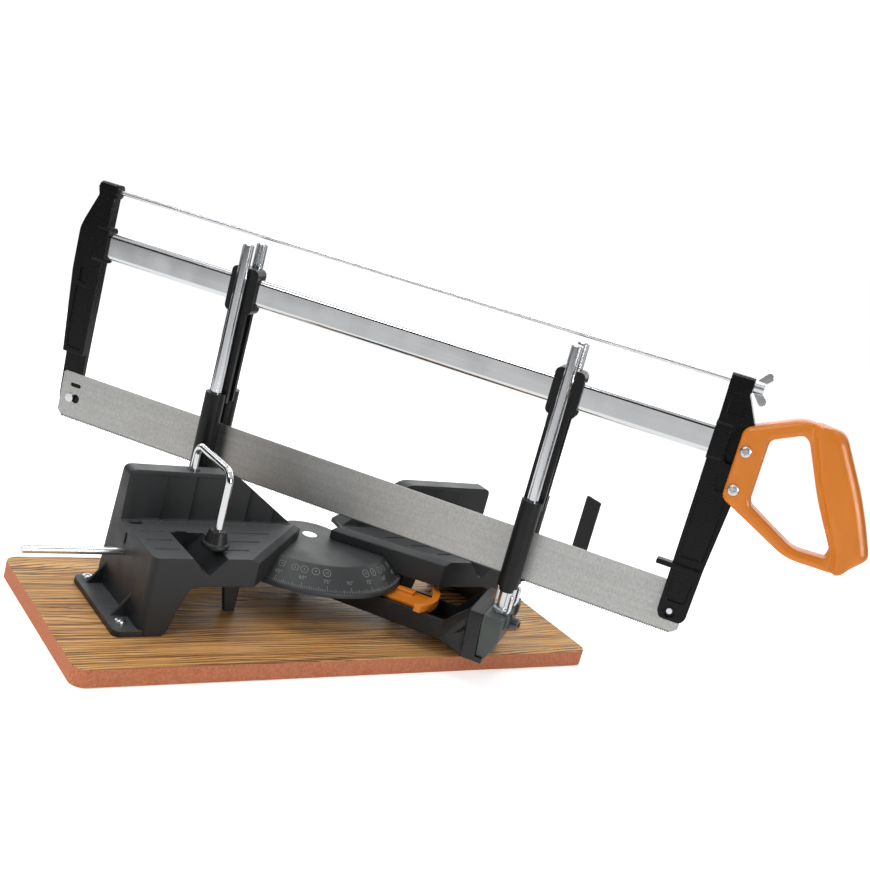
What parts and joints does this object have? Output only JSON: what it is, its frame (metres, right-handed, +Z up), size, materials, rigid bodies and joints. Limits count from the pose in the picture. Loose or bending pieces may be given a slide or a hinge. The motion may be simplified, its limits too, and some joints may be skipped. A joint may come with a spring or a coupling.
{
  "type": "manual mitre saw",
  "caption": "Manual mitre saw: a framed saw slides in guides on a swinging arm above two fenced tables and an angle quadrant on a board.",
  "frame": {"origin": "on the arm's pivot axis at the underside of the board", "axes": "+Z up along the pivot axis, +X along the fence to the right, +Y behind the fence"},
  "size_m": [0.5785, 0.5866, 0.3319],
  "materials": {
    "board": "printed oak top, bare edges",
    "table_plastic": "charcoal, fine grained",
    "quadrant_plastic": "charcoal, satin",
    "screw_zinc": "zinc plated",
    "pivot_steel": "zinc plated",
    "arm_casting": "black, coarse texture",
    "latch_plastic": "orange, satin",
    "bracket_casting": "grey green, satin",
    "bolt_steel": "blackened",
    "rod_steel": "zinc plated, drawn",
    "nut_zinc": "zinc plated, dull",
    "guide_plastic": "black, satin",
    "tube_chrome": "bright",
    "frame_casting": "black, half gloss",
    "blade_steel": "ground lengthwise",
    "tension_steel": "zinc plated",
    "handle_plastic": "orange, satin",
    "clamp_chrome": "bright",
    "foot_rubber": "matt",
    "stop_steel": "zinc plated",
    "stop_paint": "black, matt"
  },
  "bodies": {
    "base": {"base_board": "board", "left_table": "table_plastic", "right_table": "table_plastic", "table_screws": "screw_zinc", "angle_quadrant": "quadrant_plastic", "quadrant_screws": "screw_zinc", "pivot_bolt": "pivot_steel", "pivot_washer": "pivot_steel", "pivot_nut": "pivot_steel"},
    "arm": {"swing_arm": "arm_casting", "front_bracket": "bracket_casting", "rear_bracket": "bracket_casting", "bracket_bolts": "bolt_steel", "front_rod_near": "rod_steel", "front_rod_far": "rod_steel", "rear_rod_near": "rod_steel", "rear_rod_far": "rod_steel"},
    "latch": {"index_latch": "latch_plastic"},
    "front_slide": {"front_guide": "guide_plastic", "front_sleeve_near": "guide_plastic", "front_sleeve_far": "guide_plastic"},
    "rear_slide": {"rear_guide": "guide_plastic", "rear_sleeve_near": "guide_plastic", "rear_sleeve_far": "guide_plastic"},
    "saw": {"back_tube": "tube_chrome", "toe_bracket": "frame_casting", "heel_bracket": "frame_casting", "saw_blade": "blade_steel", "blade_pins": "screw_zinc", "tension_rod": "tension_steel", "handle": "handle_plastic", "handle_screws": "screw_zinc"},
    "tension_nut": {"tension_wing_nut": "nut_zinc"},
    "clamp_collar": {"clamp_bush": "guide_plastic"},
    "clamp": {"clamp_rod": "clamp_chrome", "clamp_foot": "foot_rubber"},
    "stop": {"stop_rod": "stop_steel", "stop_plate": "stop_paint"},
    "front_nut_near_body": {"front_nut_near": "nut_zinc"},
    "front_nut_far_body": {"front_nut_far": "nut_zinc"},
    "rear_nut_near_body": {"rear_nut_near": "nut_zinc"},
    "rear_nut_far_body": {"rear_nut_far": "nut_zinc"}
  },
  "joints": [
    {"name": "arm_swing", "type": "hinge", "parent": "base", "child": "arm", "pos_m": [0, 0, 0.0295], "axis": [0, 0, 1], "range_deg": [-84.33, 5.67]},
    {"name": "latch_pull", "type": "slide", "parent": "arm", "child": "latch", "axis": [0.6338, -0.7735, 0], "range_m": [0, 0.004], "stiffness_N_per_m": 1500},
    {"name": "front_guide_lift", "type": "slide", "parent": "arm", "child": "front_slide", "axis": [0, 0, 1], "range_m": [-0.0155, 0.12]},
    {"name": "rear_guide_lift", "type": "slide", "parent": "arm", "child": "rear_slide", "axis": [0, 0, 1], "range_m": [-0.0155, 0.12]},
    {"name": "saw_stroke", "type": "slide", "parent": "front_slide", "child": "saw", "axis": [0.6338, -0.7735, 0], "range_m": [-0.1, 0.12]},
    {"name": "tension_turn", "type": "hinge", "parent": "saw", "child": "tension_nut", "pos_m": [0.21232, -0.25912, 0.318], "axis": [0.6338, -0.7735, 0], "continuous": true},
    {"name": "clamp_swivel", "type": "hinge", "parent": "base", "child": "clamp_collar", "pos_m": [-0.127, 0, 0.126], "axis": [0, 0, 1], "range_deg": [-60, 60]},
    {"name": "clamp_slide", "type": "slide", "parent": "clamp_collar", "child": "clamp", "axis": [0, 0, 1], "range_m": [-0.002, 0.035]},
    {"name": "stop_slide", "type": "slide", "parent": "base", "child": "stop", "axis": [1, 0, 0], "range_m": [-0.09, 0.08]},
    {"name": "front_nut_near_turn", "type": "hinge", "parent": "arm", "child": "front_nut_near_body", "pos_m": [0.1092, -0.15552, 0.072], "axis": [0, 0, 1], "continuous": true},
    {"name": "front_nut_far_turn", "type": "hinge", "parent": "arm", "child": "front_nut_far_body", "pos_m": [0.13101, -0.13764, 0.072], "axis": [0, 0, 1], "continuous": true},
    {"name": "rear_nut_near_turn", "type": "hinge", "parent": "arm", "child": "rear_nut_near_body", "pos_m": [-0.08316, 0.07924, 0.072], "axis": [0, 0, 1], "continuous": true},
    {"name": "rear_nut_far_turn", "type": "hinge", "parent": "arm", "child": "rear_nut_far_body", "pos_m": [-0.06134, 0.09712, 0.072], "axis": [0, 0, 1], "continuous": true}
  ],
  "couplings": [
    {"joint": "rear_guide_lift", "follows": "front_guide_lift", "ratio": 1}
  ]
}
